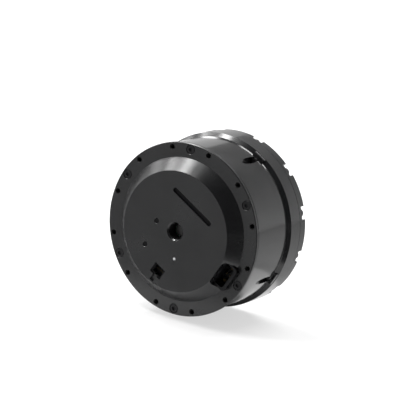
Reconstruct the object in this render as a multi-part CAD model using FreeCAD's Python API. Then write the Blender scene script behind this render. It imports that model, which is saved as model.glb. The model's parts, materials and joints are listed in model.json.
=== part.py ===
import FreeCAD, Part
import math
import os

# Robot joint actuator: a brushless motor, its driver board and a single-stage planetary
# gear set in one round housing. Millimetres. The axis of rotation is Y: the output flange
# faces +Y with its face at Y = 0, the rear cover faces -Y, and +Z is up. Angles are taken
# from +X towards +Z.

# ---------------------------------------------------------------- outside shells
ring_r = 45.5               # gear housing, the widest part
edge_break = 0.3            # chamfer on every outer edge that meets another shell

flare_rise = 1.8            # step from the motor housing up to the gear housing
flare_length = 2.0
ring_length = 8.7
ring_wall = 8.0             # gear housing round the ring gear
front_wall = 2.0
spigot_gap = 0.05
ring_gear_r = ring_r - ring_wall        # also carries the output bearing

cap_step = 0.2              # front cap under the gear housing
cap_r = ring_r - cap_step
cap_length = 5.7
cap_lip = 1.2
output_proud = 1.6          # output face beyond the front cap

body_front_r = ring_r - flare_rise
body_taper = 0.2
body_rear_r = body_front_r + body_taper
body_length = 26.5
body_wall = 4.7             # round the stator
stator_r = body_front_r - body_wall
rear_wall = 5.4             # round the cover's spigot
rear_bore_r = body_rear_r - rear_wall
rear_bore_depth = 2.0
spigot_wall = 2.0
spigot_length = 1.7
end_wall = 2.5

flange_step = 1.1           # rear flange beyond the motor housing
flange_r = body_rear_r + flange_step
flange_lip = 1.8            # full-radius part of that flange
cover_flange = 3.5          # whole thickness of that flange
cover_wall = 1.6
crown_inset = 1.2           # foot of the crown inside the rear bore
crown_base_r = rear_bore_r - crown_inset
crown_slope = 6.0
crown_r = crown_base_r - crown_slope    # flat disc at the back
crown_height = 6.5

# ---------------------------------------------------------------- fasteners
mount_edge = 2.5            # tapped holes in the rear flange
mount_pcd = 2 * (flange_r - mount_edge)
mount_count = 12
mount_tap_r = 1.25          # M3
mount_depth = 3.0
mount_start = 15.0
hole_chamfer = 0.3

cover_screw_edge = 3.1
cover_screw_pcd = 2 * (flange_r - cover_screw_edge)
cover_screw_count = 6
cover_screw_start = 30.0
cap_screw_edge = 2.8
cap_screw_pcd = 2 * (cap_r - cap_screw_edge)
cap_screw_count = 12
cap_screw_start = 15.0
notch_width = 6.9           # open notch round each front cap screw
notch_depth = 3.4
m25_r = 1.05                # every thread is a plain cylinder of its tapping size
m25_pass_r = 1.45
m25_head_r = 2.25
m25_head = 2.5
m25_key = 2.0               # across the flats of the hexagon
m25_low_head = 1.5          # low heads, in the rear cover
m25_length = 8.0
counterbore_r = 2.5
counterbore_depth = 1.6
counterbore_chamfer = 0.1

side_count = 4              # slanted screws that join the motor and gear housings
side_start = 60.0
side_tilt = 16.0
pocket_r = 2.1
pocket_wall = 0.9           # left between the deepest point and the bore
pocket_floor_r = stator_r + pocket_wall
pocket_end_gap = 1.0        # wall left between the pocket and the seam
m16_r = 0.65
m16_head_r = 1.5
m16_head = 1.4
m16_key = 1.3
m16_pass_r = 0.85
side_screw_length = 7.0
m2_r = 0.8
m2_head_r = 1.9
m2_head = 1.3
m2_key = 1.3
m2_pass_r = 1.1
land_angle = 9.0            # raised pad in the flare over each slanted screw
land_drop = 0.25            # pad's top below the ring

# ---------------------------------------------------------------- rear face
centre_hole_r = 4.25
centre_chamfer = 0.7
centre_wall = 1.3           # collar behind the hole, down to the board
board_clear = 0.3
bar_radius = 17.2           # distance of the light bar from the axis
bar_angle = 60.0
bar_length = 27.6
bar_width = 2.5
bar_recess = 0.9
bar_rim = 1.2
bar_rim_thick = 0.8
window_gap = 0.08
led_radius = 14.2
led_angle = -85.0
led_r = 1.1
led_recess = 0.05
plug_r = 1.3                # blind plugs over two service holes
plug_length = 1.2
plug_recess = 0.25
plug_places = ((12.1, 165.5), (20.2, 211.5))

power_angle = -30.0
power_inset = 3.75
power_radius = rear_bore_r - power_inset
power_width = 7.7           # radial
power_length = 14.9         # tangential
power_corner = 2.0
power_rise = 2.5            # bezel above the flange
power_wall = 1.3            # wall of the cover round the connector
power_cavity_width = 5.6
power_cavity_length = 12.6
power_cavity_corner = 1.5
power_cavity_depth = 6.6
power_cavity_offset = -0.7  # the cavity sits nearer the axis than the bezel
power_tail_inset = 1.0
power_notch = 1.5           # clear of the connector where it passes the spigot
power_tail = 3.2
connector_gap = 0.1
power_pin_r = 1.0
power_pin_pitch = 8.0
power_pin_length = 2.6
small_pin_r = 0.35
small_pin_pitch = 2.0

signal_angle = 240.0
signal_radius = 23.6
signal_offset = 4.5
signal_length = 7.2         # tangential
signal_width = 6.0          # radial
signal_recess = 0.8
signal_wall = 0.7
signal_depth = 3.2
signal_pin_r = 0.25
signal_pin_count = 4
signal_pin_pitch = 1.25
signal_pin_length = 1.5
relief_width = 2.4          # finger recess from the socket to the rim of the disc
relief_depth = 1.2
relief_inset = 1.1
relief_reach = crown_r - relief_inset

# ---------------------------------------------------------------- driver board
board_inset = 4.5
board_r = rear_bore_r - board_inset
board_thick = 1.6
board_setback = 0.5         # board's rear face in front of the flange plane
board_hole_r = 4.8
post_inset = 6.0
post_radius = board_r - post_inset
post_angles = (90.0, 180.0, 300.0)
post_r = 2.4
board_screw_length = 5.0
chip_inset = 10.0
chip_radius = board_r - chip_inset
chip_size = 5.0
chip_height = 1.0
chip_angles = (15.0, 45.0, 75.0, 105.0, 135.0, 165.0)
processor_size = 9.0
processor_radius = 15.0
processor_angle = 270.0
sensor_radius = 8.6
sensor_size = 3.0
phase_inset = 3.8           # leads inside the stator's outside
phase_radius = stator_r - phase_inset
phase_angles = (105.0, 120.0, 135.0)
phase_r = 0.8
phase_hole_r = 1.3
phase_tail = 2.6

# ---------------------------------------------------------------- motor
stator_depth = 9.0
stator_bore_r = stator_r - stator_depth
stator_back = 3.5           # room for the coils behind the core
coil_clear = 1.7            # and between them and the front wall
slot_count = 24
tooth_width = 3.4
yoke = 3.0
slot_mouth = 1.4
shoe_height = 1.0
coil_thick = 1.9
coil_overhang = 2.2
coil_gap = 0.1
coil_corner = 1.6

air_gap = 0.5
magnet_thick = 1.8
magnet_count = 28
magnet_space = 1.2          # degrees between magnets
magnet_overhang = 0.5
hub_rim = 2.5
hub_web = 2.0
hub_boss_r = 8.0
hub_boss_length = 7.0
hub_hole_r = 4.0
hub_hole_count = 6

# ---------------------------------------------------------------- rotor shaft, bearings
rear_journal_r = 5.0        # 10 x 19 x 5 bearing
rear_bearing_r = 9.5
front_journal_r = 6.0       # 12 x 21 x 5 bearing
front_bearing_r = 10.5
bearing_width = 5.0
bearing_wall = 1.5          # bearing seat wall
bearing_shoulder = 1.5
race_thick = 1.55
ball_r = 1.15
ball_count = 8
ball_gap = 0.05
cage_thick = 0.6
cage_width = 2.8
tail_r = 3.0                # rear end of the shaft and its encoder magnet
magnet_disc = 2.0
magnet_depth = 5.5          # encoder magnet's face below the disc
pinion_journal_r = 2.6

# ---------------------------------------------------------------- planetary gears
pressure_angle = 25.0
sun_teeth = 12
planet_teeth = 27
ring_teeth = sun_teeth + 2 * planet_teeth
addendum = 1.0              # in modules
dedendum = 1.25
ring_rim = 3.25             # ring gear outside its tooth roots
module = (ring_gear_r - ring_rim) / (ring_teeth / 2 + dedendum)
planet_count = 3
planet_start = 90.0
backlash = 0.04             # taken off each flank
ring_gear_width = 8.4
gear_side_gap = 0.2
carrier_inset = 1.0         # inside the ring gear's tooth tips
carrier_r = module * (ring_teeth / 2 - addendum) - carrier_inset
carrier_plate = 2.0
carrier_gap = 0.4           # behind the carrier
carrier_hole_r = 9.0
carrier_post_r = 4.0
pin_r = 2.5
pin_gap = 0.03
bush_wall = 1.0
m3_r = 1.25
m3_pass_r = 1.6
m3_head_r = 2.75
m3_head = 3.0
m3_key = 2.5
carrier_screw_length = 10.0

# ---------------------------------------------------------------- output
output_inset = 4.5
output_r = ring_gear_r - output_inset
output_bearing_depth = 9.5
output_journal_r = ring_gear_r - output_bearing_depth
output_shoulder = 3.0
output_shoulder_r = output_journal_r + output_shoulder
post_inset_r = 5.0          # carrier posts inside the output journal
post_circle = output_journal_r - post_inset_r
seal_width = 2.2
cap_lip_r = output_r + seal_width
bearing_length = 6.0        # crossed-roller bearing
outer_race = 4.0
race_gap = 1.0
bearing_outer_edge_r = ring_gear_r - outer_race
bearing_inner_edge_r = bearing_outer_edge_r - race_gap
roller_r = 1.4
roller_length = 2.7
roller_gap = 0.05
roller_count = 20
roller_cage_thick = 0.5
roller_cage_width = 5.4
roller_window = 4.1
seal_gap = 0.15
output_pcd_inset = 4.0
output_pcd = 2 * (output_journal_r - output_pcd_inset)
output_count = 6
output_start = 0.0
output_tap_r = 1.65         # M4
output_tap_depth = 6.0
pilot_r = 10.0
pilot_depth = 3.0
output_bore_r = 6.5
dowel_r = 2.0
dowel_depth = 4.0
dowel_angles = (90.0, 210.0, 330.0)
head_sunk = 0.2             # heads of the carrier screws below the output face
plug_thick = 1.2

# ---------------------------------------------------------------- places along the axis
y_cap_front = -output_proud
y_cap_rear = y_cap_front - cap_length
y_ring_rear = y_cap_rear - ring_length
y_body_front = y_ring_rear - flare_length
y_body_rear = y_body_front - body_length
y_flange = y_body_rear - cover_flange
y_disc = y_flange - crown_height

y_end_wall = y_body_rear + rear_bore_depth
y_stator_bore = y_end_wall + end_wall
y_core = y_stator_bore + stator_back

y_lip = y_cap_front - cap_lip                       # front of the output bearing
y_bearing = y_lip - bearing_length
y_ring_gear = y_bearing - ring_gear_width
y_planet = y_ring_gear + gear_side_gap
planet_width = ring_gear_width - 2 * gear_side_gap
y_carrier = y_ring_gear - carrier_plate
y_front_wall = y_carrier - carrier_gap - front_wall
y_core_front = y_front_wall - coil_clear - coil_overhang
stator_length = y_core_front - y_core
y_journal = y_bearing + carrier_plate / 2           # joint between carrier and output

y_rear_bearing = y_end_wall + bearing_shoulder
y_front_bearing = y_front_wall + front_wall - bearing_width
y_board = y_flange + board_setback
y_board_front = y_board + board_thick

pin_circle = module * (sun_teeth + planet_teeth) / 2
origin = FreeCAD.Vector(0, 0, 0)
axis = FreeCAD.Vector(0, 1, 0)


# ---------------------------------------------------------------- helpers
def place(radius, angle, y=0.0):
    """Point at a radius and angle round the axis."""
    a = math.radians(angle)
    return FreeCAD.Vector(radius * math.cos(a), y, radius * math.sin(a))


def turned(shape, angle, centre=origin):
    """Copy of a shape turned about the axis, +X towards +Z."""
    copy = shape.copy()
    copy.rotate(centre, FreeCAD.Vector(0, -1, 0), angle)
    return copy


def ring_of(shape, count, start=0.0):
    """Equally spaced copies round the axis."""
    return [turned(shape, start + k * 360.0 / count) for k in range(count)]


def moved(shape, vector):
    copy = shape.copy()
    copy.translate(vector)
    return copy


def rod(radius, y0, y1, at=origin):
    """Solid cylinder along the axis from y0 to y1."""
    return Part.makeCylinder(radius, y1 - y0, FreeCAD.Vector(at.x, y0, at.z), axis)


def tube(inner, outer, y0, y1, at=origin):
    return rod(outer, y0, y1, at).cut(rod(inner, y0 - 1, y1 + 1, at))


def lathe(profile):
    """Revolve a closed outline of (radius, y) points about the axis."""
    points = [FreeCAD.Vector(r, y, 0) for r, y in profile]
    face = Part.Face(Part.makePolygon(points + points[:1]))
    return face.revolve(origin, axis, 360)


def block(width_x, width_z, y0, y1, corner=0.0):
    """Box centred on the axis, with rounded corners along Y."""
    box = Part.makeBox(width_x, y1 - y0, width_z, FreeCAD.Vector(-width_x / 2, y0, -width_z / 2))
    if corner > 0:
        edges = [e for e in box.Edges if abs(e.tangentAt(e.FirstParameter).y) > 0.99]
        box = box.makeFillet(min(corner, 0.49 * min(width_x, width_z)), edges)
    return box


def at_place(shape, radius, angle):
    """Put a shape drawn round the axis at a radius, its X pointing outwards."""
    return turned(moved(shape, FreeCAD.Vector(radius, 0, 0)), angle)


def cut_all(shape, tools):
    return shape.cut(Part.makeCompound(tools))


def fuse_all(shape, others):
    return shape.fuse(others).removeSplitter()


def countersunk(radius, y_face, y_end, chamfer=hole_chamfer):
    """Hole tool that enters at y_face, with a chamfered mouth, and stops at y_end."""
    way = 1 if y_end > y_face else -1
    over = 0.5
    profile = [(0, y_face - way * over), (radius + chamfer + over, y_face - way * over),
               (radius + chamfer, y_face), (radius, y_face + way * chamfer),
               (radius, y_end), (0, y_end)]
    return lathe(profile)


def cap_screw(shank_r, head_r, head_height, key, length):
    """Socket-head screw along +Y, the seat of its head at Y = 0."""
    screw = rod(head_r, -head_height, 0).fuse(rod(shank_r, 0, length)).removeSplitter()
    corners = [place(key / math.sqrt(3), 60 * k, -head_height - 1) for k in range(7)]
    socket = Part.Face(Part.makePolygon(corners)).extrude(axis * (1 + 0.55 * head_height))
    top = [e for e in screw.Edges
           if abs(e.CenterOfMass.y + head_height) < 1e-6 and isinstance(e.Curve, Part.Circle)]
    return screw.makeChamfer(0.08 * head_height, top).cut(socket)


def facing_rear(screw, y_seat):
    """Screw driven towards +Y, its head on the rear side."""
    return moved(screw, FreeCAD.Vector(0, y_seat, 0))


def facing_front(screw, y_seat):
    """Screw driven towards -Y, its head on the output side."""
    copy = screw.copy()
    copy.rotate(origin, FreeCAD.Vector(1, 0, 0), 180)
    return moved(copy, FreeCAD.Vector(0, y_seat, 0))


def arc(p, q, r):
    return Part.Arc(p, q, r).toShape()


def gear_outline(teeth, low_r, high_r, flank_shift, start):
    """Face of an involute gear between two radii, one tooth centred at the start angle."""
    pitch_r = module * teeth / 2
    base_r = pitch_r * math.cos(math.radians(pressure_angle))
    pitch_involute = math.tan(math.radians(pressure_angle)) - math.radians(pressure_angle)
    half_at_pitch = math.pi / (2 * teeth) - flank_shift / pitch_r

    def half_angle(r):
        roll = math.sqrt(max((r / base_r) ** 2 - 1, 0))
        return math.degrees(half_at_pitch + pitch_involute - (roll - math.atan(roll)))

    flank_r = max(low_r, base_r)
    middle_r = (flank_r + high_r) / 2
    step = 360.0 / teeth
    edges = []
    for k in range(teeth):
        a = start + k * step
        rise = [place(r, a - half_angle(r)) for r in (low_r, flank_r, middle_r, high_r)]
        fall = [place(r, a + half_angle(r)) for r in (high_r, middle_r, flank_r, low_r)]
        after = place(low_r, a + step - half_angle(low_r))
        if flank_r > low_r:
            edges.append(Part.makeLine(rise[0], rise[1]))
        edges.append(arc(rise[1], rise[2], rise[3]))
        edges.append(arc(rise[3], place(high_r, a), fall[0]))
        edges.append(arc(fall[0], fall[1], fall[2]))
        if flank_r > low_r:
            edges.append(Part.makeLine(fall[2], fall[3]))
        edges.append(arc(fall[3], place(low_r, a + step / 2), after))
    return Part.Face(Part.Wire(edges))


def outer_gear(teeth, y0, y1, start):
    pitch_r = module * teeth / 2
    face = gear_outline(teeth, pitch_r - dedendum * module, pitch_r + addendum * module,
                        backlash, start)
    return moved(face.extrude(axis * (y1 - y0)), FreeCAD.Vector(0, y0, 0))


def export(name, solids):
    """Write one node: a solid, or a group of identical ones."""
    shape = Part.makeCompound(solids) if isinstance(solids, list) else solids
    shape.exportStep("parts/" + name + ".step")


# ---------------------------------------------------------------- rear cover and its fittings
def power_outline(margin, y0, y1):
    """Rounded block on the power connector's place."""
    shape = block(power_width + 2 * margin, power_length + 2 * margin, y0, y1, power_corner)
    return at_place(shape, power_radius, power_angle)


def signal_place(shape):
    sideways = moved(shape, FreeCAD.Vector(0, 0, signal_offset))
    return at_place(sideways, signal_radius, signal_angle)


def bar_outline(margin, y0, y1):
    """Long slot with round ends, its length tangential."""
    width = bar_width + 2 * margin
    shape = block(width, bar_length + 2 * margin, y0, y1, width / 2)
    return at_place(shape, bar_radius, bar_angle)


def rear_cover():
    cone = (crown_base_r - crown_r) / crown_height
    slant = cover_wall * math.hypot(1, cone)
    inner_y = y_disc + cover_wall
    inner_r = crown_r + cone * cover_wall - slant
    cavity_r = rear_bore_r - spigot_gap - spigot_wall
    cavity_y = inner_y + (cavity_r - inner_r) / cone
    spigot_r = rear_bore_r - spigot_gap
    shell = lathe([
        (0, y_disc), (crown_r, y_disc), (crown_base_r, y_flange),
        (flange_r - edge_break, y_flange), (flange_r, y_flange + edge_break),
        (flange_r, y_flange + flange_lip), (body_rear_r, y_flange + flange_lip + edge_break),
        (body_rear_r, y_body_rear - edge_break), (body_rear_r - edge_break, y_body_rear),
        (spigot_r, y_body_rear), (spigot_r, y_body_rear + spigot_length),
        (cavity_r, y_body_rear + spigot_length), (cavity_r, cavity_y),
        (inner_r, inner_y), (0, inner_y)])
    crown = lathe([(0, y_disc), (crown_r, y_disc), (crown_base_r, y_flange), (0, y_flange)])
    well = power_outline(power_wall, y_disc, y_flange).common(crown)
    centre = rod(centre_hole_r + centre_wall, inner_y - cover_wall / 2, y_board - board_clear)
    shell = fuse_all(shell, [well, centre])
    tools = [countersunk(centre_hole_r, y_disc, y_board + 1, centre_chamfer)]
    tools += [bar_outline(window_gap, y_disc - 1, inner_y + 1)]
    tools += [at_place(rod(led_r + window_gap, y_disc - 1, inner_y + 1), led_radius, led_angle)]
    tools += [at_place(countersunk(plug_r, y_disc, y_disc + plug_recess + plug_length, 0.2),
                       radius, angle) for radius, angle in plug_places]
    tools += [power_outline(connector_gap, y_disc - 1, y_body_rear + spigot_length + 1)]
    tools += [power_outline(power_notch, y_body_rear, y_body_rear + spigot_length + 1)]
    tools += [signal_place(block(signal_width, signal_length, y_disc - 1, inner_y + 1, 0.3))]
    reach = relief_reach - signal_radius
    tools += [signal_place(moved(block(reach, relief_width, y_disc - 1, y_disc + relief_depth, 0.3),
                                 FreeCAD.Vector(reach / 2, 0, 0)))]
    mount_hole = at_place(countersunk(mount_tap_r, y_flange, y_flange + mount_depth), mount_pcd / 2, 0)
    tools += ring_of(mount_hole, mount_count, mount_start)
    screw_hole = countersunk(counterbore_r, y_flange, y_flange + counterbore_depth,
                             counterbore_chamfer)
    screw_hole = screw_hole.fuse(rod(m25_pass_r, y_flange, y_body_rear + 1))
    tools += ring_of(at_place(screw_hole, cover_screw_pcd / 2, 0),
                     cover_screw_count, cover_screw_start)
    return cut_all(shell, tools)


def cover_screws():
    screw = cap_screw(m25_r, m25_head_r, m25_low_head, m25_key, m25_length)
    screw = facing_rear(screw, y_flange + counterbore_depth)
    return ring_of(at_place(screw, cover_screw_pcd / 2, 0), cover_screw_count, cover_screw_start)


def light_bar():
    inner_y = y_disc + cover_wall
    window = bar_outline(0, y_disc + bar_recess, inner_y)
    rim = bar_outline(bar_rim, inner_y, inner_y + bar_rim_thick)
    return window.fuse(rim).removeSplitter()


def status_light():
    return at_place(rod(led_r, y_disc + led_recess, y_board), led_radius, led_angle)


def service_plugs():
    plug = rod(plug_r, y_disc + plug_recess, y_disc + plug_recess + plug_length)
    return [at_place(plug, radius, angle) for radius, angle in plug_places]


def power_connector():
    face_y = y_flange - power_rise
    shell = power_outline(0, face_y, y_board_front)
    shell = shell.fuse(power_outline(-power_tail_inset, y_board_front, y_board_front + power_tail))
    cavity = block(power_cavity_width, power_cavity_length, face_y - 1,
                   face_y + power_cavity_depth, power_cavity_corner)
    cavity = at_place(cavity, power_radius + power_cavity_offset, power_angle)
    return shell.removeSplitter().cut(cavity)


def power_pins():
    floor_y = y_flange - power_rise + power_cavity_depth
    tip_y = floor_y - power_pin_length
    blade = rod(power_pin_r, tip_y, floor_y)
    blade = blade.makeChamfer(0.3, [e for e in blade.Edges
                                    if abs(e.CenterOfMass.y - tip_y) < 1e-6])
    small = rod(small_pin_r, tip_y, floor_y)
    pins = [moved(blade, FreeCAD.Vector(0, 0, side * power_pin_pitch / 2)) for side in (-1, 1)]
    pins += [moved(small, FreeCAD.Vector(side * small_pin_pitch / 2, 0, 0)) for side in (-1, 1)]
    return [at_place(pin, power_radius + power_cavity_offset, power_angle) for pin in pins]


def signal_connector():
    face_y = y_disc + signal_recess
    gap = connector_gap
    shell = block(signal_width - 2 * gap, signal_length - 2 * gap, face_y, y_board, 0.2)
    cavity = block(signal_width - 2 * gap - 2 * signal_wall,
                   signal_length - 2 * gap - 2 * signal_wall,
                   face_y - 1, face_y + signal_depth)
    key = moved(block(signal_width / 2, relief_width / 2, face_y - 1, face_y + signal_depth),
                FreeCAD.Vector(signal_width / 2, 0, 0))
    return signal_place(shell.cut(cavity).cut(key))


def signal_pins():
    floor_y = y_disc + signal_recess + signal_depth
    pin = rod(signal_pin_r, floor_y - signal_pin_length, floor_y)
    middle = (signal_pin_count - 1) / 2
    return [signal_place(moved(pin, FreeCAD.Vector(0, 0, (k - middle) * signal_pin_pitch)))
            for k in range(signal_pin_count)]


# ---------------------------------------------------------------- driver board
def driver_board():
    board = rod(board_r, y_board, y_board_front)
    tools = [rod(board_hole_r, y_board - 1, y_board_front + 1)]
    tools += [power_outline(connector_gap, y_board - 1, y_board_front + 1)]
    tools += [at_place(rod(m2_pass_r, y_board - 1, y_board_front + 1), post_radius, a)
              for a in post_angles]
    return cut_all(board, tools)


def board_screws():
    screw = facing_rear(cap_screw(m2_r, m2_head_r, m2_head, m2_key, board_screw_length), y_board)
    return [at_place(screw, post_radius, a) for a in post_angles]


def board_chips():
    chip = block(chip_size, chip_size, y_board_front, y_board_front + chip_height)
    chips = [at_place(chip, chip_radius, a) for a in chip_angles]
    processor = block(processor_size, processor_size, y_board_front, y_board_front + chip_height)
    chips.append(at_place(processor, processor_radius, processor_angle))
    sensor = block(sensor_size, sensor_size, y_board - chip_height, y_board)
    chips.append(at_place(sensor, sensor_radius, bar_angle))
    return chips


def phase_leads():
    """Three straight leads from the winding, through the end wall, bent onto the board."""
    y_end = y_core - coil_overhang
    y_bend = y_board_front + phase_r
    lead = rod(phase_r, y_bend - phase_r, y_end)
    tail = Part.makeCylinder(phase_r, phase_tail, FreeCAD.Vector(0, y_bend, 0),
                             FreeCAD.Vector(-1, 0, 0))
    lead = lead.fuse(tail).removeSplitter()
    return [at_place(lead, phase_radius, a) for a in phase_angles]


# ---------------------------------------------------------------- motor housing
def pocket_line(y):
    """Radius of the slanted pocket's centre line."""
    y_deep = y_body_front - pocket_end_gap
    return pocket_floor_r + pocket_r + (y_deep - y) * math.tan(math.radians(side_tilt))


def slanted(radius, back, ahead):
    """Rod on the slanted screw's line, measured from the pocket's end wall."""
    y_deep = y_body_front - pocket_end_gap
    tilt = math.radians(side_tilt)
    way = FreeCAD.Vector(-math.sin(tilt), math.cos(tilt), 0)
    start = FreeCAD.Vector(pocket_line(y_deep), y_deep, 0) - way * back
    return Part.makeCylinder(radius, back + ahead, start, way)


def motor_housing():
    hub_r = rear_bearing_r + bearing_wall
    shell = lathe([
        (hub_r, y_end_wall), (rear_bore_r, y_end_wall), (rear_bore_r, y_body_rear),
        (body_rear_r - edge_break, y_body_rear), (body_rear_r, y_body_rear + edge_break),
        (body_front_r, y_body_front - edge_break), (body_front_r - edge_break, y_body_front),
        (stator_r, y_body_front), (stator_r, y_stator_bore), (hub_r, y_stator_bore)])
    hub = lathe([
        (rear_bearing_r - race_thick, y_end_wall), (hub_r, y_end_wall),
        (hub_r, y_rear_bearing + bearing_width), (rear_bearing_r, y_rear_bearing + bearing_width),
        (rear_bearing_r, y_rear_bearing), (rear_bearing_r - race_thick, y_rear_bearing)])
    posts = [at_place(rod(post_r, y_board_front, y_end_wall + end_wall / 2), post_radius, a)
             for a in post_angles]
    shell = fuse_all(shell, [hub] + posts)
    pocket_length = (body_rear_r - pocket_floor_r) / math.sin(math.radians(side_tilt)) + 5
    tools = ring_of(slanted(pocket_r, pocket_length, 0), side_count, side_start)
    tools += ring_of(slanted(m16_pass_r, 0, side_screw_length), side_count, side_start)
    tools += ring_of(at_place(rod(m25_r, y_body_rear - 1, y_body_rear + m25_length),
                              cover_screw_pcd / 2, 0), cover_screw_count, cover_screw_start)
    tools += [at_place(rod(m2_r, y_board_front - 1, y_end_wall + end_wall / 2),
                       post_radius, a) for a in post_angles]
    tools += [at_place(rod(phase_hole_r, y_end_wall - 1, y_stator_bore + 1), phase_radius, a)
              for a in phase_angles]
    return cut_all(shell, tools)


def side_screws():
    screw = cap_screw(m16_r, m16_head_r, m16_head, m16_key, side_screw_length)
    screw.rotate(origin, FreeCAD.Vector(0, 0, 1), side_tilt)
    y_deep = y_body_front - pocket_end_gap
    screw.translate(FreeCAD.Vector(pocket_line(y_deep), y_deep, 0))
    return ring_of(screw, side_count, side_start)


# ---------------------------------------------------------------- stator
def stator_core():
    core = tube(stator_bore_r, stator_r, y_core, y_core_front)
    half_pitch = math.sin(math.pi / slot_count)
    low_r = stator_bore_r + 2 * shoe_height
    high_r = stator_r - yoke
    mouth = slot_mouth / 2
    outline = [(stator_bore_r - 1, mouth), (stator_bore_r + shoe_height, mouth),
               (low_r, low_r * half_pitch - tooth_width / 2),
               (high_r, high_r * half_pitch - tooth_width / 2)]
    outline += [(r, -w) for r, w in reversed(outline)]
    points = [FreeCAD.Vector(r, y_core - 1, w) for r, w in outline]
    slot = Part.Face(Part.makePolygon(points + points[:1])).extrude(axis * (stator_length + 2))
    return cut_all(core, ring_of(slot, slot_count, 180.0 / slot_count))


def stator_coils():
    inner_w = tooth_width + 2 * coil_gap
    outer_w = inner_w + 2 * coil_thick
    low_r = stator_bore_r + 2 * shoe_height + 0.2
    high_r = stator_r - yoke - 0.2
    y0 = y_core - coil_overhang
    y1 = y_core_front + coil_overhang
    loop = Part.makeBox(high_r - low_r, y1 - y0, outer_w, FreeCAD.Vector(low_r, y0, -outer_w / 2))
    loop = loop.makeFillet(coil_corner, [e for e in loop.Edges
                                         if abs(e.tangentAt(e.FirstParameter).x) > 0.99])
    hole = Part.makeBox(high_r - low_r + 2, stator_length + 2 * coil_gap, inner_w,
                        FreeCAD.Vector(low_r - 1, y_core - coil_gap, -inner_w / 2))
    return ring_of(loop.cut(hole), slot_count)


# ---------------------------------------------------------------- ball bearings
def bearing_groove(mid_r, y_mid):
    return Part.makeTorus(mid_r, ball_r + ball_gap, FreeCAD.Vector(0, y_mid, 0), axis)


def bearing_ring(low_r, high_r, mid_r, y0):
    ring = tube(low_r, high_r, y0, y0 + bearing_width)
    return ring.cut(bearing_groove(mid_r, y0 + bearing_width / 2))


def ball_set(mid_r, y0):
    y_mid = y0 + bearing_width / 2
    ball = Part.makeSphere(ball_r, place(mid_r, 0, y_mid))
    pocket = Part.makeCylinder(ball_r + 2 * ball_gap, 4 * ball_r,
                               place(mid_r - 2 * ball_r, 0, y_mid), FreeCAD.Vector(1, 0, 0))
    cage = tube(mid_r - cage_thick / 2, mid_r + cage_thick / 2,
                y_mid - cage_width / 2, y_mid + cage_width / 2)
    return ring_of(ball, ball_count) + [cut_all(cage, ring_of(pocket, ball_count))]


def rear_bearing_outer():
    mid_r = (rear_journal_r + rear_bearing_r) / 2
    return bearing_ring(rear_bearing_r - race_thick, rear_bearing_r, mid_r, y_rear_bearing)


def rear_bearing_inner():
    mid_r = (rear_journal_r + rear_bearing_r) / 2
    return bearing_ring(rear_journal_r, rear_journal_r + race_thick, mid_r, y_rear_bearing)


def rear_bearing_balls():
    return ball_set((rear_journal_r + rear_bearing_r) / 2, y_rear_bearing)


def front_bearing_outer():
    mid_r = (front_journal_r + front_bearing_r) / 2
    return bearing_ring(front_bearing_r - race_thick, front_bearing_r, mid_r, y_front_bearing)


def front_bearing_inner():
    mid_r = (front_journal_r + front_bearing_r) / 2
    return bearing_ring(front_journal_r, front_journal_r + race_thick, mid_r, y_front_bearing)


def front_bearing_balls():
    return ball_set((front_journal_r + front_bearing_r) / 2, y_front_bearing)


# ---------------------------------------------------------------- rotor
magnet_r = stator_bore_r - air_gap
hub_r = magnet_r - magnet_thick
hub_hole_radius = (hub_boss_r + hub_r - hub_rim) / 2
y_web = y_core + stator_length / 2 - hub_web / 2


def rotor_shaft():
    y_tail = y_disc + magnet_depth + magnet_disc
    y_boss = y_web + hub_web / 2 - hub_boss_length / 2
    y_pinion = y_front_bearing + bearing_width
    return lathe([
        (0, y_tail), (tail_r, y_tail), (tail_r, y_rear_bearing - 0.5),
        (rear_journal_r, y_rear_bearing - 0.5), (rear_journal_r, y_boss + hub_boss_length),
        (front_journal_r + 1, y_boss + hub_boss_length), (front_journal_r + 1, y_front_bearing),
        (front_journal_r, y_front_bearing), (front_journal_r, y_pinion),
        (pinion_journal_r, y_pinion), (pinion_journal_r, y_planet + planet_width),
        (0, y_planet + planet_width)])


def encoder_magnet():
    return rod(tail_r, y_disc + magnet_depth, y_disc + magnet_depth + magnet_disc)


def sun_gear():
    gear = outer_gear(sun_teeth, y_front_bearing + bearing_width, y_planet + planet_width,
                      planet_start)
    return gear.cut(rod(pinion_journal_r, y_front_bearing, y_bearing + 1))


def rotor_hub():
    y0 = y_core - magnet_overhang
    y1 = y_core_front + magnet_overhang
    y_boss = y_web + hub_web / 2 - hub_boss_length / 2
    rim = tube(hub_r - hub_rim, hub_r, y0, y1)
    web = tube(rear_journal_r, hub_r - hub_rim / 2, y_web, y_web + hub_web)
    boss = tube(rear_journal_r, hub_boss_r, y_boss, y_boss + hub_boss_length)
    holes = ring_of(at_place(rod(hub_hole_r, y_web - 1, y_web + hub_web + 1),
                             hub_hole_radius, 0), hub_hole_count)
    return cut_all(fuse_all(rim, [web, boss]), holes)


def rotor_magnets():
    span = 360.0 / magnet_count - magnet_space
    y0 = y_core - magnet_overhang
    profile = Part.makePolygon([
        FreeCAD.Vector(r, y, 0) for r, y in (
            (hub_r, y0), (magnet_r, y0), (magnet_r, y0 + stator_length + 2 * magnet_overhang),
            (hub_r, y0 + stator_length + 2 * magnet_overhang), (hub_r, y0))])
    magnet = Part.Face(profile).revolve(origin, axis, span)
    return ring_of(magnet, magnet_count)


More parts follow.
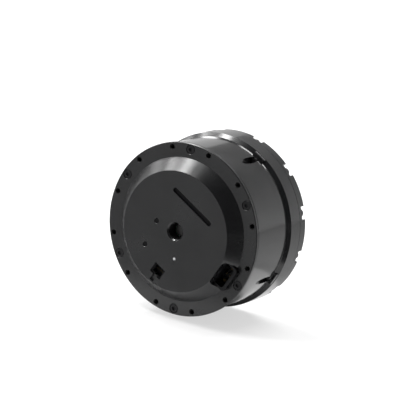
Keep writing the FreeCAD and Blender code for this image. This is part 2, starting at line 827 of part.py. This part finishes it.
# ---------------------------------------------------------------- gear housing
def gear_housing():
    spigot_r = stator_r - spigot_gap
    seat_r = front_bearing_r + bearing_wall
    y_cavity = y_front_wall + front_wall
    shell = lathe([
        (seat_r - bearing_wall / 2, y_front_wall), (spigot_r, y_front_wall),
        (spigot_r, y_body_front), (body_front_r - edge_break, y_body_front),
        (body_front_r, y_body_front + edge_break / 2), (ring_r, y_ring_rear),
        (ring_r, y_cap_rear - edge_break), (ring_r - edge_break, y_cap_rear),
        (ring_gear_r, y_cap_rear), (ring_gear_r, y_cavity),
        (seat_r - bearing_wall / 2, y_cavity)])
    seat = tube(front_bearing_r, seat_r, y_front_bearing, y_cavity)
    land_r = ring_r - land_drop
    land = Part.makePolygon([
        FreeCAD.Vector(r, y, 0) for r, y in (
            (stator_r + 1, y_body_front), (land_r - edge_break, y_body_front),
            (land_r, y_body_front + edge_break), (land_r, y_ring_rear),
            (stator_r + 1, y_ring_rear), (stator_r + 1, y_body_front))])
    land = turned(Part.Face(land).revolve(origin, axis, land_angle), land_angle / 2)
    shell = fuse_all(shell, [seat] + ring_of(land, side_count, side_start))
    tools = ring_of(slanted(m16_r, 0, side_screw_length + 1), side_count, side_start)
    tools += ring_of(at_place(rod(m25_r, y_cap_rear - m25_length, y_cap_rear + 1),
                              cap_screw_pcd / 2, 0), cap_screw_count, cap_screw_start)
    return cut_all(shell, tools)


def ring_gear():
    pitch_r = module * ring_teeth / 2
    space = gear_outline(ring_teeth, pitch_r - addendum * module, pitch_r + dedendum * module,
                         -backlash, planet_start)
    space = moved(space.extrude(axis * (ring_gear_width + 2)),
                  FreeCAD.Vector(0, y_ring_gear - 1, 0))
    return rod(ring_gear_r, y_ring_gear, y_ring_gear + ring_gear_width).cut(space)


def front_cap():
    shell = lathe([
        (ring_gear_r, y_cap_rear), (cap_r - edge_break, y_cap_rear),
        (cap_r, y_cap_rear + edge_break), (cap_r, y_cap_front - 2 * edge_break),
        (cap_r - 2 * edge_break, y_cap_front), (cap_lip_r, y_cap_front),
        (cap_lip_r, y_lip), (ring_gear_r, y_lip)])
    y_floor = y_cap_front - notch_depth
    half = notch_width / 2
    notch = rod(half, y_floor, y_cap_front + 1, FreeCAD.Vector(cap_screw_pcd / 2, 0, 0))
    notch = notch.fuse(Part.makeBox(cap_r, notch_depth + 1, notch_width,
                                    FreeCAD.Vector(cap_screw_pcd / 2, y_floor, -half)))
    hole = at_place(rod(m25_pass_r, y_cap_rear - 1, y_floor + 1), cap_screw_pcd / 2, 0)
    tools = ring_of(notch.fuse(hole), cap_screw_count, cap_screw_start)
    return cut_all(shell, tools)


def cap_screws():
    screw = cap_screw(m25_r, m25_head_r, m25_head, m25_key, m25_length)
    screw = facing_front(screw, y_cap_front - notch_depth)
    return ring_of(at_place(screw, cap_screw_pcd / 2, 0), cap_screw_count, cap_screw_start)


# ---------------------------------------------------------------- planets and carrier
def planet_place(k):
    return planet_start + k * 360.0 / planet_count


def planet_gear(k):
    gear = outer_gear(planet_teeth, y_planet, y_planet + planet_width, planet_start)
    gear = gear.cut(rod(pin_r + pin_gap + bush_wall, y_planet - 1, y_planet + planet_width + 1))
    gear = turned(gear, planet_place(k) - planet_start)
    return moved(gear, place(pin_circle, planet_place(k)))


def planet_bush(k):
    return tube(pin_r + pin_gap, pin_r + pin_gap + bush_wall, y_planet, y_planet + planet_width,
                place(pin_circle, planet_place(k)))


def planet_carrier():
    back = tube(carrier_hole_r, carrier_r, y_carrier, y_ring_gear - gear_side_gap / 2)
    front = lathe([
        (0, y_bearing - gear_side_gap / 2), (carrier_r, y_bearing - gear_side_gap / 2),
        (carrier_r, y_bearing), (output_journal_r, y_bearing), (output_journal_r, y_journal),
        (0, y_journal)])
    post = at_place(rod(carrier_post_r, y_carrier, y_journal), post_circle, 0)
    posts = ring_of(post, planet_count, planet_start + 180.0 / planet_count)
    carrier = fuse_all(back, [front] + posts)
    pin_holes = ring_of(at_place(rod(pin_r, y_carrier - 1, y_journal + 1), pin_circle, 0),
                        planet_count, planet_start)
    taps = ring_of(at_place(rod(m3_r, y_journal - carrier_screw_length, y_journal + 1),
                            post_circle, 0), planet_count, planet_start + 180.0 / planet_count)
    return cut_all(carrier, pin_holes + taps + [rod(output_bore_r, y_carrier, y_journal + 1)])


def planet_pins():
    return ring_of(at_place(rod(pin_r, y_carrier, y_journal), pin_circle, 0),
                   planet_count, planet_start)


# ---------------------------------------------------------------- output side
roller_circle = (bearing_inner_edge_r + bearing_outer_edge_r) / 2
y_roller = y_bearing + bearing_length / 2


def roller_track():
    """Square channel on its corner, shared by the two races."""
    h = (roller_r + roller_gap) * math.sqrt(2)
    return lathe([(roller_circle - h, y_roller), (roller_circle, y_roller - h),
                  (roller_circle + h, y_roller), (roller_circle, y_roller + h)])


def output_bearing_outer():
    return tube(bearing_outer_edge_r, ring_gear_r, y_bearing, y_lip).cut(roller_track())


def output_bearing_inner():
    return tube(output_journal_r, bearing_inner_edge_r, y_bearing, y_lip).cut(roller_track())


def tilted_roller(side):
    way = FreeCAD.Vector(math.sqrt(0.5), side * math.sqrt(0.5), 0)
    start = FreeCAD.Vector(roller_circle, y_roller, 0) - way * (roller_length / 2)
    return Part.makeCylinder(roller_r, roller_length, start, way)


def bearing_rollers():
    step = 360.0 / roller_count
    return [turned(tilted_roller(1 if k % 2 else -1), k * step) for k in range(roller_count)]


def roller_cage():
    cage = tube(roller_circle - roller_cage_thick / 2, roller_circle + roller_cage_thick / 2,
                y_roller - roller_cage_width / 2, y_roller + roller_cage_width / 2)
    window = Part.makeBox(4 * roller_r, roller_window, roller_window, FreeCAD.Vector(
        roller_circle - 2 * roller_r, y_roller - roller_window / 2, -roller_window / 2))
    return cut_all(cage, ring_of(window, roller_count))


def shaft_seal():
    return lathe([
        (output_r + 3 * seal_gap, y_lip), (cap_lip_r, y_lip), (cap_lip_r, y_cap_front - edge_break),
        (output_r + 3 * seal_gap, y_cap_front - edge_break),
        (output_r + seal_gap, y_cap_front - 2 * edge_break),
        (output_r + 3 * seal_gap, y_cap_front - 3 * edge_break)])


def output_flange():
    shell = lathe([
        (output_bore_r, y_journal), (output_journal_r, y_journal), (output_journal_r, y_lip),
        (output_shoulder_r, y_lip), (output_shoulder_r, y_lip + edge_break),
        (output_r, y_lip + edge_break), (output_r, -2 * edge_break),
        (output_r - 2 * edge_break, 0), (pilot_r + edge_break, 0), (pilot_r, -edge_break),
        (pilot_r, -pilot_depth), (output_bore_r, -pilot_depth)])
    taps = ring_of(at_place(countersunk(output_tap_r, 0, -output_tap_depth), output_pcd / 2, 0),
                   output_count, output_start)
    dowels = [at_place(countersunk(dowel_r, 0, -dowel_depth), output_pcd / 2, a)
              for a in dowel_angles]
    seat = rod(m3_head_r + 0.25, -m3_head - head_sunk, 1)
    screw_hole = at_place(seat.fuse(rod(m3_pass_r, y_journal - 1, 0)), post_circle, 0)
    screw_holes = ring_of(screw_hole, planet_count, planet_start + 180.0 / planet_count)
    return cut_all(shell, taps + dowels + screw_holes)


def carrier_screws():
    screw = cap_screw(m3_r, m3_head_r, m3_head, m3_key,
                      carrier_screw_length - m3_head - head_sunk)
    screw = facing_front(screw, -m3_head - head_sunk)
    return ring_of(at_place(screw, post_circle, 0), planet_count,
                   planet_start + 180.0 / planet_count)


def output_plug():
    """Press-in cover that closes the bore behind the pilot recess."""
    return rod(output_bore_r, -pilot_depth - plug_thick, -pilot_depth)


nodes = {
    "rear_cover": rear_cover, "cover_screws": cover_screws, "light_bar": light_bar,
    "status_light": status_light, "service_plugs": service_plugs,
    "power_connector": power_connector, "power_pins": power_pins,
    "signal_connector": signal_connector, "signal_pins": signal_pins,
    "driver_board": driver_board, "board_screws": board_screws, "board_chips": board_chips,
    "phase_leads": phase_leads, "motor_housing": motor_housing, "side_screws": side_screws,
    "stator_core": stator_core, "stator_coils": stator_coils,
    "rear_bearing_outer": rear_bearing_outer, "rear_bearing_inner": rear_bearing_inner,
    "rear_bearing_balls": rear_bearing_balls, "front_bearing_outer": front_bearing_outer,
    "front_bearing_inner": front_bearing_inner, "front_bearing_balls": front_bearing_balls,
    "rotor_shaft": rotor_shaft, "encoder_magnet": encoder_magnet, "sun_gear": sun_gear,
    "rotor_hub": rotor_hub, "rotor_magnets": rotor_magnets, "gear_housing": gear_housing,
    "ring_gear": ring_gear, "front_cap": front_cap, "cap_screws": cap_screws,
    "planet_carrier": planet_carrier, "planet_pins": planet_pins,
    "output_bearing_outer": output_bearing_outer, "output_bearing_inner": output_bearing_inner,
    "bearing_rollers": bearing_rollers, "roller_cage": roller_cage, "shaft_seal": shaft_seal,
    "output_flange": output_flange, "carrier_screws": carrier_screws,
    "output_plug": output_plug,
}

os.makedirs("parts", exist_ok=True)
for name, build in nodes.items():
    export(name, build())
for k in range(planet_count):
    export("planet_gear_" + str(k + 1), planet_gear(k))
    export("planet_bush_" + str(k + 1), planet_bush(k))
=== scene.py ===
import bpy
import json
import math
from mathutils import Matrix, Vector


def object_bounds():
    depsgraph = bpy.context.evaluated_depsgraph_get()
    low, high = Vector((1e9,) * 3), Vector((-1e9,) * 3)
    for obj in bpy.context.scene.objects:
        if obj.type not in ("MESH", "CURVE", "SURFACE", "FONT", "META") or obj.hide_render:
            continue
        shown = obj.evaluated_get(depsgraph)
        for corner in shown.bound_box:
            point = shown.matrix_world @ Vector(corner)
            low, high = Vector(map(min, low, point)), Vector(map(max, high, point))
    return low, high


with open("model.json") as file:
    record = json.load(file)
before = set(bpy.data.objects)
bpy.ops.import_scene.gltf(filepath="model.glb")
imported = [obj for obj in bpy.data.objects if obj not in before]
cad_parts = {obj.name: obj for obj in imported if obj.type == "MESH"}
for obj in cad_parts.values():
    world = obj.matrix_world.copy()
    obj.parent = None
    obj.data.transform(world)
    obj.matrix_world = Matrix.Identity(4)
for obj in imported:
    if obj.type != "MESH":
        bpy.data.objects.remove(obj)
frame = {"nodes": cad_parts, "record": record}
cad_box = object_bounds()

MM = 0.001
nodes = frame["nodes"]
low, high = (Vector(corner) for corner in cad_box)
middle = (low + high) / 2

# Places on the solids that the finishes meet, in mm and degrees. The axis of the joint is y,
# and its rear faces -y.
FLANGE_REAR = -48.0
MOUNT_HOLES, MOUNT_START, MOUNT_CIRCLE, MOUNT_HOLE_R = 12, 15, 42.5, 1.5
MOUNT_PITCH = 0.5
CENTRE_HOLE_R, CENTRE_HOLE_MOUTH = 4.4, -53.7
OUTPUT_HOLES, OUTPUT_START, OUTPUT_CIRCLE, OUTPUT_HOLE_R = 6, 0, 24.0, 1.9
OUTPUT_HOLE_MOUTH = -0.3
OUTPUT_PITCH = 0.7
BELOW_FACE = 0.05
LENS_X, LENS_Z = 1.24, -14.15
LENS_CORE_R, LENS_COLLAR_R = 0.5, 0.85


# ---------------------------------------------------------------- shader maths
class Value:
    """A shader socket that can stand in a Python expression."""

    def __init__(self, surface, socket):
        self.surface = surface
        self.socket = socket

    def _math(self, operation, *terms):
        node = self.surface.node("Math", dict(enumerate(terms)), operation=operation)
        return Value(self.surface, node.outputs[0])

    def __add__(self, other):
        return self._math("ADD", self, other)

    def __sub__(self, other):
        return self._math("SUBTRACT", self, other)

    def __rsub__(self, other):
        return self._math("SUBTRACT", other, self)

    def __mul__(self, other):
        return self._math("MULTIPLY", self, other)

    def __pow__(self, other):
        return self._math("POWER", self, other)

    def above(self, level):
        return self._math("GREATER_THAN", self, level)

    def below(self, level):
        return self._math("LESS_THAN", self, level)

    def sine(self):
        return self._math("SINE", self)

    def angle_from(self, other):
        return self._math("ARCTAN2", self, other)

    def fraction(self):
        return self._math("FRACT", self)


class Surface:
    """A material under construction, laid out in the coordinates of the solids."""

    def __init__(self, name, roughness, metallic=0.0):
        self.material = bpy.data.materials.new(name)
        self.material.use_nodes = True
        self.tree = self.material.node_tree
        self.shader = self.tree.nodes["Principled BSDF"]
        self.set(Roughness=roughness, Metallic=metallic)
        self.place = Value(self, self.node("TexCoord").outputs["Object"])
        parts = self.node("SeparateXYZ", {"Vector": self.place})
        self.x, self.y, self.z = (Value(self, part) for part in parts.outputs)

    def node(self, kind, sockets=None, **settings):
        made = self.tree.nodes.new("ShaderNode" + kind)
        for name, setting in settings.items():
            setattr(made, name, setting)
        for name, value in (sockets or {}).items():
            self.feed(made.inputs[name], value)
        return made

    def feed(self, socket, value):
        """Link an output to a socket, or set the socket to a constant."""
        if isinstance(value, Value):
            value = value.socket
        if hasattr(value, "is_output"):
            self.tree.links.new(value, socket)
        else:
            socket.default_value = value

    def set(self, **sockets):
        for name, value in sockets.items():
            self.feed(self.shader.inputs[name.replace("_", " ")], value)

    def noise(self, scale, detail=3.0, stretch=(1, 1, 1)):
        spread = self.node("Mapping", {"Vector": self.place, "Scale": stretch})
        made = self.node("TexNoise", {"Vector": spread.outputs[0], "Scale": scale,
                                      "Detail": detail})
        return Value(self, made.outputs[0])

    def cells(self, scale):
        made = self.node("TexVoronoi", {"Vector": self.place, "Scale": scale})
        return Value(self, made.outputs["Distance"])

    def radius(self):
        """Distance from the axis."""
        return (self.x * self.x + self.z * self.z) ** 0.5

    def angle(self):
        """Angle round the axis."""
        return self.z.angle_from(self.x)

    def colours(self, amount, first, second):
        """The first colour where the amount is 0, the second where it is 1."""
        first, second = ((*colour, 1) if isinstance(colour, tuple) else colour
                         for colour in (first, second))
        mixed = self.node("Mix", {0: amount, 6: first, 7: second}, data_type="RGBA")
        return mixed.outputs[2]

    def steps(self, value, start, end):
        """Value spread over 0 to 1 between two levels."""
        made = self.node("MapRange", {"Value": value, "From Min": start, "From Max": end})
        return Value(self, made.outputs[0])

    def bump(self, height, depth):
        made = self.node("Bump", {"Height": height, "Distance": depth})
        self.set(Normal=made.outputs[0])


def finish(surface, slot):
    """Give every CAD node of a record slot this material."""
    plain_grey = (0.2, 0.2, 0.2, 1)
    surface.material.diffuse_color = plain_grey
    for part in frame["record"]["subparts"]:
        if part["material_slot"] == slot:
            mesh = nodes[part["node"]].data
            mesh.materials.clear()
            mesh.materials.append(surface.material)


# ---------------------------------------------------------------- finishes
def drilled_ring(skin, count, start, circle, hole_r):
    """1 within a hole's radius of any of a ring of holes round the axis, 0 elsewhere."""
    turn = ((skin.angle() - math.radians(start)) * (count / math.tau) + 0.5).fraction() - 0.5
    across = turn * (math.tau / count) * skin.radius()
    off_circle = skin.radius() - circle * MM
    return (across * across + off_circle * off_circle).below((hole_r * MM) ** 2)


def thread(skin, pitch):
    """Rounded ridges along the axis."""
    return (skin.y * (math.tau / (pitch * MM))).sine()


def lines(length, radians_per_m):
    """Even lines along a length, from 0 to 1."""
    return (length * radians_per_m).sine() * 0.5 + 0.5


def anodised(slot, dark, light, roughness, grain, ior=1.5, drilled=False):
    """Bead-blasted, dyed aluminium: an even matt grain and faint clouds in the dye.

    In the cover, the tapped holes of the flange and the centre hole get painted shade inside.
    """
    cloud_scale, blast_scale = 55, 5200
    uneven = 0.04
    # painted shade: near-black colour for the inside of the holes
    painted_hole_shade, hole_roughness = (0.002, 0.002, 0.002), 0.6
    ridge_height = 30
    skin = Surface(slot, roughness)
    skin.set(IOR=ior)
    clouds = skin.noise(cloud_scale, 4)
    colour = skin.colours(skin.steps(clouds, 0.35, 0.65), dark, light)
    rough = skin.steps(clouds, 0.3, 0.7) * uneven + (roughness - uneven / 2)
    height = skin.noise(blast_scale, 2)
    if drilled:
        ring = drilled_ring(skin, MOUNT_HOLES, MOUNT_START, MOUNT_CIRCLE, MOUNT_HOLE_R)
        tapped = ring * skin.y.above((FLANGE_REAR + BELOW_FACE) * MM)
        centre = skin.radius().below(CENTRE_HOLE_R * MM) * skin.y.above(CENTRE_HOLE_MOUTH * MM)
        hole = tapped + centre
        # painted shade inside the tapped holes and the centre hole
        colour = skin.colours(hole, colour, painted_hole_shade)
        rough = rough + hole * hole_roughness
        height = height + thread(skin, MOUNT_PITCH) * tapped * ridge_height
    skin.set(Base_Color=colour, Roughness=rough)
    skin.bump(height, grain * MM)
    finish(skin, slot)


def turned_face(slot, dark, light, roughness):
    """Lathe-turned and dyed output side: fine rings round the axis, tapped holes with painted
    shade inside.
    """
    ring_lines = 42000
    cloud_scale, grain_scale = 90, 3000
    uneven = 0.12
    # painted shade: near-black colour for the inside of the tapped holes
    painted_hole_shade = (0.006, 0.006, 0.0065)
    ridge_height = 40
    skin = Surface(slot, roughness, 1.0)
    rings = lines(skin.radius(), ring_lines)
    clouds = skin.noise(cloud_scale)
    ring = drilled_ring(skin, OUTPUT_HOLES, OUTPUT_START, OUTPUT_CIRCLE, OUTPUT_HOLE_R)
    tapped = ring * skin.y.below(OUTPUT_HOLE_MOUTH * MM)
    # the tapped holes get the painted shade colour
    skin.set(Base_Color=skin.colours(tapped, skin.colours(clouds, dark, light), painted_hole_shade),
             Roughness=clouds * uneven + (roughness - uneven / 2))
    ridges = thread(skin, OUTPUT_PITCH) * tapped * ridge_height
    skin.bump(rings + skin.noise(grain_scale, 2) + ridges, 0.002 * MM)
    finish(skin, slot)


def ground_steel(slot, dark, light, roughness, stretch=(1, 14, 1)):
    """Ground or plated metal, with fine scratches drawn out by the stretch."""
    scratch_scale = 1500
    skin = Surface(slot, roughness, 1.0)
    scratches = skin.noise(scratch_scale, 4, stretch)
    skin.set(Base_Color=skin.colours(scratches, dark, light),
             Roughness=scratches * 0.15 + (roughness - 0.07))
    skin.bump(scratches, 0.004 * MM)
    finish(skin, slot)


def black_steel():
    """Blackened screws, a little worn."""
    wear_scale, grain_scale = 900, 4200
    skin = Surface("black_steel", 0.4, 0.6)
    worn = skin.steps(skin.noise(wear_scale, 5), 0.62, 0.72)
    skin.set(Base_Color=skin.colours(worn, (0.012, 0.012, 0.013), (0.06, 0.06, 0.062)),
             Roughness=worn * -0.1 + 0.42)
    skin.bump(skin.noise(grain_scale, 2), 0.004 * MM)
    finish(skin, "black_steel")


def moulded(slot, dark, light, roughness, grain=0.006, gloss=0.5):
    """Moulded plastic with an eroded-tool grain."""
    cloud_scale, grain_scale = 400, 2600
    skin = Surface(slot, roughness)
    spots = skin.cells(grain_scale)
    skin.set(Base_Color=skin.colours(skin.noise(cloud_scale), dark, light),
             Roughness=spots * 0.1 + (roughness - 0.03), Specular_IOR_Level=gloss)
    skin.bump(spots, grain * MM)
    finish(skin, slot)


def winding():
    """Enamelled wire: round turns side by side along the tooth, a painted highlight on each turn
    and painted shade between.
    """
    wire_lines = 12500
    skin = Surface("copper_wire", 0.28, 1.0)
    turns = lines(skin.radius(), wire_lines)
    # painted highlight on the crest of each turn, painted shade between turns
    skin.set(Base_Color=skin.colours(turns, (0.25, 0.06, 0.02), (0.75, 0.27, 0.09)),
             Roughness=0.42 - turns * 0.15)
    skin.bump(turns, 0.12 * MM)
    finish(skin, "copper_wire")


def laminations():
    """Stack of thin steel sheets along the axis."""
    sheet_lines, gap_level = 18000, -0.75
    cloud_scale = 700
    skin = Surface("lamination_steel", 0.45, 1.0)
    sheets = (skin.y * sheet_lines).sine().above(gap_level)
    skin.set(Base_Color=skin.colours(sheets, (0.03, 0.03, 0.035), (0.3, 0.3, 0.31)),
             Roughness=skin.noise(cloud_scale) * 0.2 + 0.35)
    skin.bump(sheets, 0.03 * MM)
    finish(skin, "lamination_steel")


def solder_mask():
    """Green board with faint wandering tracks and tinned spots."""
    track_lines, track_level = 3200, 0.55
    wander_scale, wander = 120, 6
    pad_scale, pad_size = 420, 0.16
    skin = Surface("solder_mask", 0.3)
    bent = skin.x * track_lines + skin.noise(wander_scale, 1) * wander
    tracks = bent.sine().above(track_level)
    pads = skin.cells(pad_scale).below(pad_size)
    laid = skin.colours(tracks, (0.004, 0.05, 0.018), (0.008, 0.11, 0.04))
    skin.set(Base_Color=skin.colours(pads, laid, (0.6, 0.6, 0.58)),
             Roughness=0.34 - pads * 0.1, Metallic=pads)
    skin.bump(tracks + pads, 0.03 * MM)
    finish(skin, "solder_mask")


def bronze():
    """Sintered bronze with open pores."""
    pore_scale, pore_size = 2400, 0.35
    skin = Surface("bronze_bush", 0.4, 1.0)
    pores = skin.steps(skin.cells(pore_scale), 0.0, pore_size)
    skin.set(Base_Color=skin.colours(pores, (0.1, 0.05, 0.02), (0.5, 0.3, 0.12)),
             Roughness=0.55 - pores * 0.2)
    skin.bump(pores, 0.02 * MM)
    finish(skin, "bronze_bush")


def milk_lens():
    """Milky core in a grey collar."""
    cloud_scale = 500
    skin = Surface("milk_lens", 0.3)
    off_x = skin.x - LENS_X * MM
    off_z = skin.z - LENS_Z * MM
    from_core = (off_x * off_x + off_z * off_z) ** 0.5
    core = skin.steps(from_core, LENS_COLLAR_R * MM, LENS_CORE_R * MM)
    skin.set(Base_Color=skin.colours(core, (0.03, 0.03, 0.032), (0.42, 0.425, 0.43)),
             Roughness=skin.noise(cloud_scale, 2) * 0.1 + 0.3)
    finish(skin, "milk_lens")


# slot, darker colour, lighter colour, roughness, then grain in mm or stretch of the scratches
anodised("anodised_cover", (0.007, 0.0072, 0.0078), (0.0095, 0.0097, 0.0103), 0.26, 0.003,
         drilled=True)
anodised("anodised_body", (0.006, 0.0062, 0.0066), (0.008, 0.0082, 0.0086), 0.14, 0.001,
         ior=1.6)
anodised("anodised_ring", (0.007, 0.0072, 0.0078), (0.0095, 0.0097, 0.0103), 0.18, 0.0015,
         ior=1.55)
turned_face("machined_aluminium", (0.03, 0.031, 0.034), (0.05, 0.051, 0.054), 0.35)
ground_steel("bearing_steel", (0.4, 0.4, 0.42), (0.62, 0.62, 0.64), 0.2, (1, 1, 1))
ground_steel("gear_steel", (0.2, 0.2, 0.21), (0.38, 0.38, 0.39), 0.32)
ground_steel("zinc_steel", (0.4, 0.41, 0.43), (0.62, 0.62, 0.62), 0.3, (1, 1, 1))
ground_steel("magnet_nickel", (0.05, 0.05, 0.05), (0.08, 0.08, 0.078), 0.35, (1, 4, 1))
# gold contacts coloured nearly black: painted shade of the recesses they sit in
ground_steel("gold_contacts", (0.03, 0.022, 0.01), (0.06, 0.045, 0.02), 0.5, (1, 1, 1))
black_steel()
moulded("smoked_window", (0.002, 0.002, 0.0025), (0.003, 0.003, 0.0035), 0.3, 0.001, gloss=0.1)
moulded("black_nylon", (0.0025, 0.0025, 0.003), (0.004, 0.004, 0.0045), 0.42, gloss=0.2)
moulded("chip_epoxy", (0.012, 0.012, 0.013), (0.02, 0.02, 0.021), 0.5)
moulded("seal_rubber", (0.003, 0.003, 0.0035), (0.006, 0.006, 0.0065), 0.6, 0.01, gloss=0.1)
milk_lens()
winding()
laminations()
solder_mask()
bronze()


# ---------------------------------------------------------------- studio, in metres
FLOOR_WIDTH = 12
FLOOR_Z = low.z - 2 * MM
CARD_Z = low.z - 1 * MM          # floor cards lie just over the floor
FLOOR_GLOW = 0.6
LAMP_DISTANCE = 1.1
FILL_LEVEL, WHITE_LEVEL = 0.55, 1.0


def floor():
    """Pale floor that turns white in view and keeps the shadow."""
    bpy.ops.object.select_all(action="DESELECT")
    bpy.ops.mesh.primitive_plane_add(size=FLOOR_WIDTH, location=(0, 0, FLOOR_Z))
    sheet = bpy.context.object
    sheet.name = "floor"
    paper = Surface("floor_paper", 0.9)
    tint = paper.noise(2, 2)
    paper.set(Base_Color=paper.colours(tint, (0.9, 0.9, 0.9), (0.91, 0.91, 0.91)))
    glow = paper.node("Emission", {"Color": (1, 1, 1, 1), "Strength": 1.0})
    seen = Value(paper, paper.node("LightPath").outputs["Is Camera Ray"])
    mixed = paper.node("MixShader", {0: seen * FLOOR_GLOW, 1: paper.shader.outputs[0],
                                     2: glow.outputs[0]})
    paper.feed(paper.tree.nodes["Material Output"].inputs["Surface"], mixed.outputs[0])
    sheet.data.materials.append(paper.material)


def softbox(name, towards, along, length, width, radiance):
    """Rectangular light that faces the object from a direction, its length laid along another."""
    towards = Vector(towards).normalized()
    side = (Vector(along) - towards * towards.dot(Vector(along))).normalized()
    up = towards.cross(side)
    lamp = bpy.data.lights.new(name, "AREA")
    lamp.shape = "RECTANGLE"
    lamp.size = length
    lamp.size_y = width
    lamp.energy = radiance * math.pi * length * width
    holder = bpy.data.objects.new(name, lamp)
    turn = Matrix((side, up, towards)).transposed().to_4x4()
    holder.matrix_world = Matrix.Translation(middle + towards * LAMP_DISTANCE) @ turn
    bpy.context.scene.collection.objects.link(holder)


def card(name, place, facing, width, height, tone, foot_tone=None):
    """Cloth-covered card that only reflections see, square to a direction.

    A standing card shades from its tone at the head to the foot tone, a little lighter unless
    one is given. A card that lies flat is even, halfway between the two.
    """
    shaded_half = height * 0.4
    weave_scale, weave = 8, 0.02
    foot_gain = 1.2
    bpy.ops.object.select_all(action="DESELECT")
    bpy.ops.mesh.primitive_plane_add(size=1)
    sheet = bpy.context.object
    sheet.name = name
    turn = Vector(facing).to_track_quat("Z", "Y").to_matrix().to_4x4()
    shape = Matrix.Diagonal((width, height, 1, 1))
    sheet.data.transform(Matrix.Translation(Vector(place)) @ turn @ shape)
    cloth = Surface(name + "_cloth", 1.0)
    middle_z = Vector(place).z
    fall = cloth.steps(cloth.z + cloth.noise(weave_scale) * weave,
                       middle_z + shaded_half, middle_z - shaded_half)
    foot_tone = tone * foot_gain if foot_tone is None else foot_tone
    cloth.set(Base_Color=cloth.colours(fall, (tone,) * 3, (foot_tone,) * 3),
              Specular_IOR_Level=0.0)
    sheet.data.materials.append(cloth.material)
    sheet.visible_camera = False
    sheet.visible_diffuse = False
    sheet.visible_transmission = False
    sheet.visible_shadow = False


def backdrop():
    """White all round in view and in reflections, and an even grey light on the object."""
    world = bpy.data.worlds.new("studio")
    bpy.context.scene.world = world
    world.use_nodes = True
    tree = world.node_tree
    path = tree.nodes.new("ShaderNodeLightPath")
    seen = tree.nodes.new("ShaderNodeMath")
    seen.operation = "ADD"
    seen_through = tree.nodes.new("ShaderNodeMath")
    seen_through.operation = "ADD"
    seen_through.use_clamp = True
    tree.links.new(path.outputs["Is Camera Ray"], seen.inputs[0])
    tree.links.new(path.outputs["Is Glossy Ray"], seen.inputs[1])
    tree.links.new(seen.outputs[0], seen_through.inputs[0])
    tree.links.new(path.outputs["Is Transmission Ray"], seen_through.inputs[1])
    level = tree.nodes.new("ShaderNodeMapRange")
    level.inputs["To Min"].default_value = FILL_LEVEL
    level.inputs["To Max"].default_value = WHITE_LEVEL
    tree.links.new(seen_through.outputs[0], level.inputs["Value"])
    background = tree.nodes["Background"]
    background.inputs["Color"].default_value = (1, 1, 1, 1)
    tree.links.new(level.outputs[0], background.inputs["Strength"])


def camera():
    """Long lens from behind and a little above, rolled a few degrees."""
    heading, height, roll = 31.737, 14.341, 6.227
    off_axis = Vector((13.19 * MM, 10.91 * MM, 1.8))
    aim = Vector((0, FLANGE_REAR * MM, 0))
    eye = bpy.data.cameras.new("camera")
    eye.lens = 306.7
    eye.sensor_width = 36
    eye.clip_end = 20
    turn = (Matrix.Rotation(math.radians(heading), 3, "Z")
            @ Matrix.Rotation(math.radians(90 - height), 3, "X")
            @ Matrix.Rotation(math.radians(roll), 3, "Z"))
    holder = bpy.data.objects.new("camera", eye)
    holder.matrix_world = Matrix.Translation(aim + turn @ off_axis) @ turn.to_4x4()
    bpy.context.scene.collection.objects.link(holder)
    bpy.context.scene.camera = holder


floor()
backdrop()

# name, direction from the object, direction of the length, length, width, radiance
softbox("key_box", (-0.68, 0.15, 0.72), (0.3, 0.9, -0.1), 0.42, 0.24, 26)
softbox("left_box", (-0.9, -0.1, 0.42), (0.1, 0.9, 0.1), 0.4, 0.2, 7)
softbox("upper_left_box", (-0.42, -0.33, 0.85), (0.7, -0.7, 0.1), 0.42, 0.2, 30)
softbox("rear_box", (0.08, 0.46, 0.88), (1, 0.25, -0.2), 0.66, 0.16, 26)

# name, centre, facing, width, height, tone
right = Vector((0.8, -0.45, 0.4)).normalized()
above = Vector((0.1, -0.5, 0.86)).normalized()
behind = Vector((0.2, 0.9, 0.26)).normalized()
card("right_card", middle + right * 0.8, -right, 1.5, 1.2, 0.01)
card("upper_card", middle + above * 0.9, -above, 0.9, 0.7, 0.01)
card("rear_card", middle + behind * 1.0, -behind, 1.5, 0.8, 0.22, foot_tone=1.0)
card("rear_floor_card", (0.26, 0.42, CARD_Z), (0, 0, 1), 0.8, 0.8, 0.42)
card("floor_card", (-0.18, -0.36, CARD_Z), (0, 0, 1), 0.5, 0.54, 0.26)
card("right_floor_card", (0.36, -0.26, CARD_Z), (0, 0, 1), 0.56, 0.6, 0.02)
camera()

bpy.context.scene.view_settings.view_transform = "Standard"
